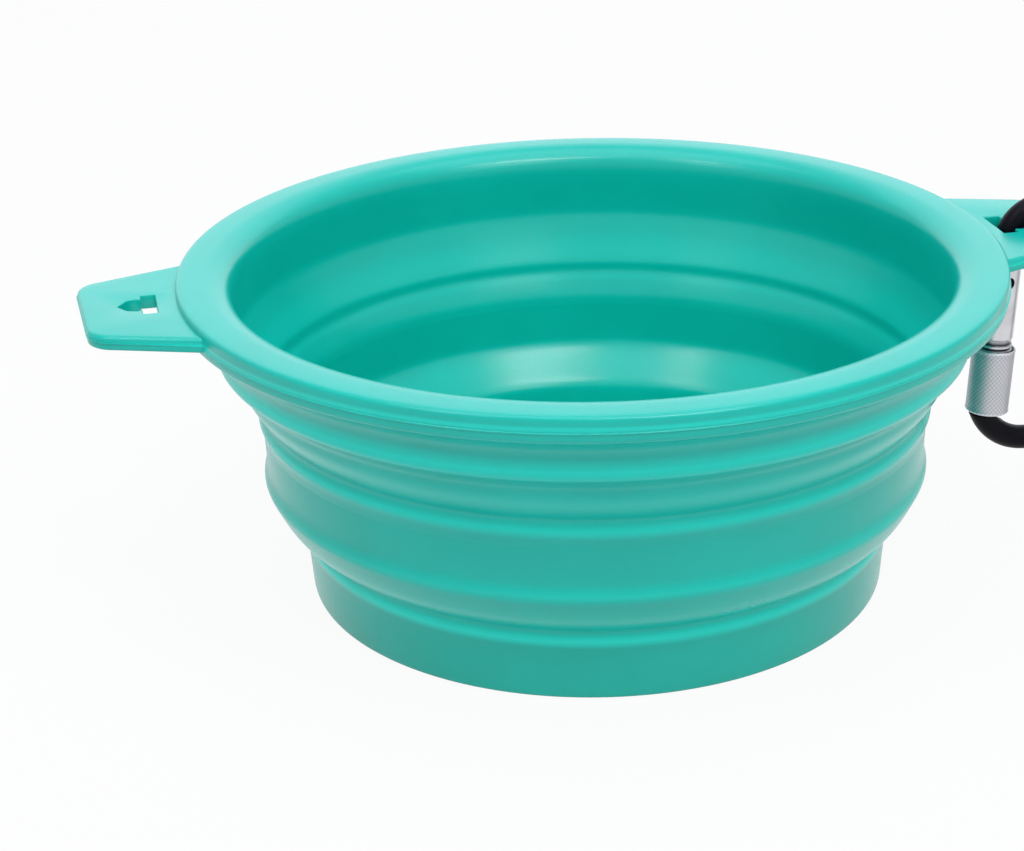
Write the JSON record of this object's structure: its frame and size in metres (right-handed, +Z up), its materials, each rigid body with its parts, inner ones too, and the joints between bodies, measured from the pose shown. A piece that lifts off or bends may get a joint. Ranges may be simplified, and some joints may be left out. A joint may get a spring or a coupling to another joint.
{
  "type": "collapsible water bowl",
  "caption": "Folding silicone bowl with slotted hanging tabs and a screw-lock wire clip. Thin webs turn inside out so that the stiff tiers nest flat.",
  "frame": {"origin": "centre of the base's underside, on the surface that the bowl stands on", "axes": "X runs through both hanging tabs with the clip on +X, Z is up along the bowl's axis"},
  "size_m": [0.172, 0.13, 0.0563],
  "materials": {
    "silicone": "satin",
    "black_wire": "satin",
    "silver_gate": "satin",
    "silver_sleeve": "knurled",
    "pin_steel": "satin"
  },
  "bodies": {
    "base": {"base_cup": "silicone", "lower_fold_web": "silicone"},
    "band": {"middle_band": "silicone", "upper_fold_web": "silicone"},
    "rim": {"rim_and_tabs": "silicone"},
    "clip": {"carabiner_body": "black_wire"},
    "gate": {"gate_tube": "silver_gate", "hinge_rivet": "pin_steel", "gate_spring": "pin_steel"},
    "sleeve": {"lock_sleeve": "silver_sleeve"}
  },
  "joints": [
    {"name": "lower_fold", "type": "slide", "parent": "base", "child": "band", "axis": [0, 0, -1], "range_m": [0, 0.0184], "deforming": ["lower_fold_web"]},
    {"name": "upper_fold", "type": "slide", "parent": "band", "child": "rim", "axis": [0, 0, -1], "range_m": [0, 0.02], "deforming": ["upper_fold_web"]},
    {"name": "clip_swing", "type": "hinge", "parent": "rim", "child": "clip", "pos_m": [0.07615, 0, 0.04825], "axis": [0, -1, 0], "range_deg": [0, 95]},
    {"name": "gate_swing", "type": "hinge", "parent": "clip", "child": "gate", "pos_m": [0.06977, 0, 0.04223], "axis": [0, -1, 0], "range_deg": [0, 22], "stiffness_Nm_per_rad": 0.03, "springref_deg": -17.19, "deforming": ["gate_spring"]},
    {"name": "sleeve_travel", "type": "slide", "parent": "gate", "child": "sleeve", "axis": [-0.061, 0, -0.9981], "range_m": [-0.0014, 0.0019]}
  ]
}
